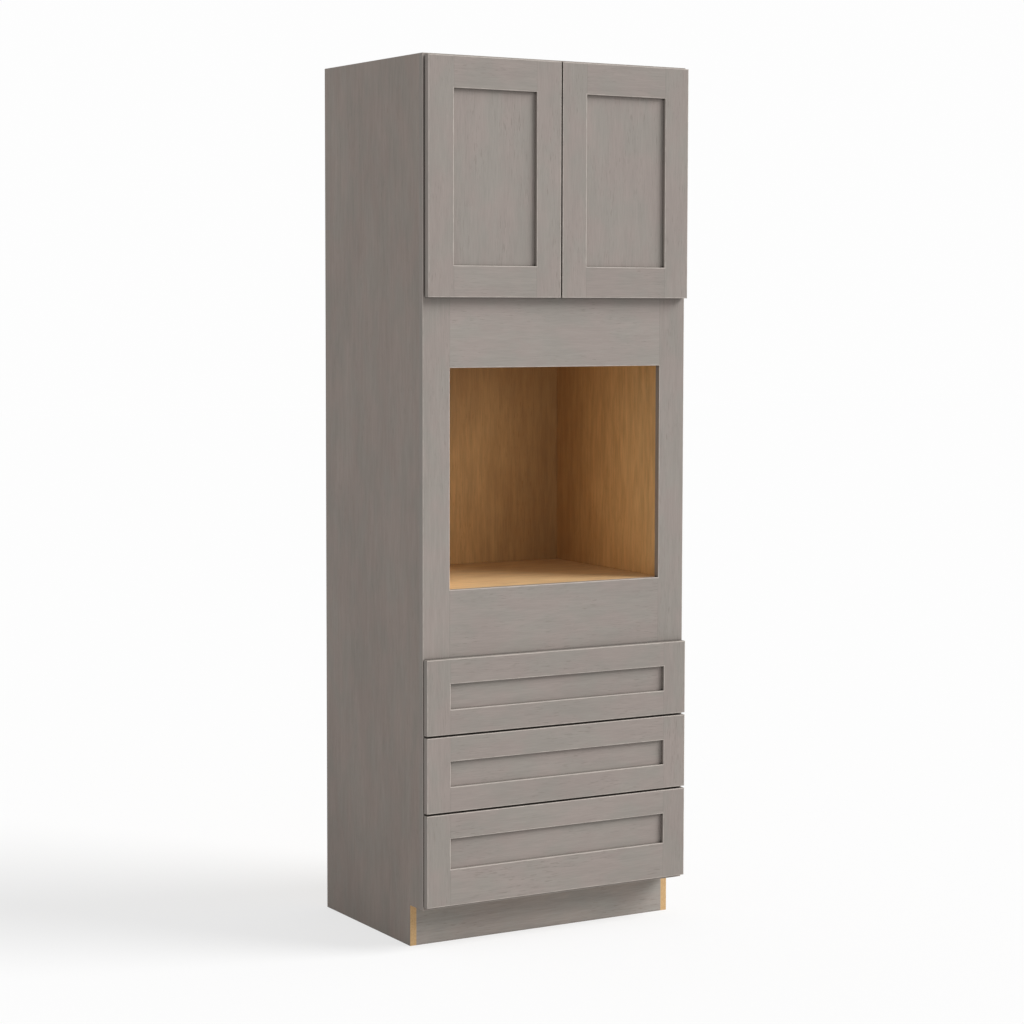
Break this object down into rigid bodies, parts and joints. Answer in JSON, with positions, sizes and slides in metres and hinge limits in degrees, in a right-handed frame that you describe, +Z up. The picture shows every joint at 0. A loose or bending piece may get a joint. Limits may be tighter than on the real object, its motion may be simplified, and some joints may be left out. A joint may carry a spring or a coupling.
{
  "type": "tall oven housing unit",
  "caption": "Tall framed kitchen cabinet with shaker doors above an open oven compartment and a stack of shaker drawers above a recessed toe space",
  "frame": {"origin": "middle of the footprint on the floor", "axes": "+Z up along the height, -Y towards the person at the doors and drawers, +X to the right as seen in row frame from the front"},
  "size_m": [0.8382, 0.6334, 2.4384],
  "materials": {
    "stained_front_wood": "semi-matt grey stain over fine grain",
    "stained_side_panel": "semi-matt grey stain on veneered plywood",
    "birch_plywood": "clear satin lacquer on birch veneer",
    "drawer_box_wood": "clear satin lacquer on solid birch",
    "rough_batten": "unfinished softwood",
    "slide_steel": "zinc plated sheet",
    "hinge_steel": "nickel plated",
    "bracket_plastic": "moulded grey nylon",
    "bumper_rubber": "clear soft polyurethane"
  },
  "bodies": {
    "cabinet": {"left_side": "stained_side_panel", "right_side": "stained_side_panel", "back_panel": "birch_plywood", "top_panel": "birch_plywood", "upper_deck": "birch_plywood", "shelf": "birch_plywood", "shelf_pins": "hinge_steel", "left_liner": "birch_plywood", "right_liner": "birch_plywood", "furring_strips": "rough_batten", "oven_deck": "birch_plywood", "deck_cleats": "rough_batten", "bottom_deck": "birch_plywood", "toe_kick": "stained_front_wood", "rear_toe_board": "rough_batten", "nailers": "rough_batten", "left_stile": "stained_front_wood", "right_stile": "stained_front_wood", "top_rail": "stained_front_wood", "oven_top_rail": "stained_front_wood", "oven_bottom_rail": "stained_front_wood", "drawer_rails": "stained_front_wood", "bottom_rail": "stained_front_wood", "hinge_arms": "hinge_steel", "slide_channels": "slide_steel", "slide_brackets": "bracket_plastic"},
    "left_door": {"left_door_stiles": "stained_front_wood", "left_door_rails": "stained_front_wood", "left_door_panel": "stained_front_wood", "left_hinge_cups": "hinge_steel", "left_bumpers": "bumper_rubber"},
    "right_door": {"right_door_stiles": "stained_front_wood", "right_door_rails": "stained_front_wood", "right_door_panel": "stained_front_wood", "right_hinge_cups": "hinge_steel", "right_bumpers": "bumper_rubber"},
    "top_drawer": {"top_front_stiles": "stained_front_wood", "top_front_rails": "stained_front_wood", "top_front_panel": "stained_front_wood", "top_box_sides": "drawer_box_wood", "top_box_ends": "drawer_box_wood", "top_box_bottom": "drawer_box_wood", "top_runners": "slide_steel"},
    "top_slide_middle": {"top_middle_members": "slide_steel"},
    "middle_drawer": {"middle_front_stiles": "stained_front_wood", "middle_front_rails": "stained_front_wood", "middle_front_panel": "stained_front_wood", "middle_box_sides": "drawer_box_wood", "middle_box_ends": "drawer_box_wood", "middle_box_bottom": "drawer_box_wood", "middle_runners": "slide_steel"},
    "middle_slide_middle": {"middle_middle_members": "slide_steel"},
    "bottom_drawer": {"bottom_front_stiles": "stained_front_wood", "bottom_front_rails": "stained_front_wood", "bottom_front_panel": "stained_front_wood", "bottom_box_sides": "drawer_box_wood", "bottom_box_ends": "drawer_box_wood", "bottom_box_bottom": "drawer_box_wood", "bottom_runners": "slide_steel"},
    "bottom_slide_middle": {"bottom_middle_members": "slide_steel"}
  },
  "joints": [
    {"name": "left_door_hinge", "type": "hinge", "parent": "cabinet", "child": "left_door", "pos_m": [-0.4055, -0.30673, 2.11025], "axis": [0, 0, -1], "range_deg": [0, 105]},
    {"name": "right_door_hinge", "type": "hinge", "parent": "cabinet", "child": "right_door", "pos_m": [0.4055, -0.30673, 2.11025], "axis": [0, 0, 1], "range_deg": [0, 105]},
    {"name": "top_drawer_slide", "type": "slide", "parent": "cabinet", "child": "top_drawer", "axis": [0, -1, 0], "range_m": [0, 0.5]},
    {"name": "top_middle_slide", "type": "slide", "parent": "cabinet", "child": "top_slide_middle", "axis": [0, -1, 0], "range_m": [0, 0.25]},
    {"name": "middle_drawer_slide", "type": "slide", "parent": "cabinet", "child": "middle_drawer", "axis": [0, -1, 0], "range_m": [0, 0.5]},
    {"name": "middle_middle_slide", "type": "slide", "parent": "cabinet", "child": "middle_slide_middle", "axis": [0, -1, 0], "range_m": [0, 0.25]},
    {"name": "bottom_drawer_slide", "type": "slide", "parent": "cabinet", "child": "bottom_drawer", "axis": [0, -1, 0], "range_m": [0, 0.5]},
    {"name": "bottom_middle_slide", "type": "slide", "parent": "cabinet", "child": "bottom_slide_middle", "axis": [0, -1, 0], "range_m": [0, 0.25]}
  ],
  "couplings": [
    {"joint": "top_middle_slide", "follows": "top_drawer_slide", "ratio": 0.5},
    {"joint": "middle_middle_slide", "follows": "middle_drawer_slide", "ratio": 0.5},
    {"joint": "bottom_middle_slide", "follows": "bottom_drawer_slide", "ratio": 0.5}
  ]
}
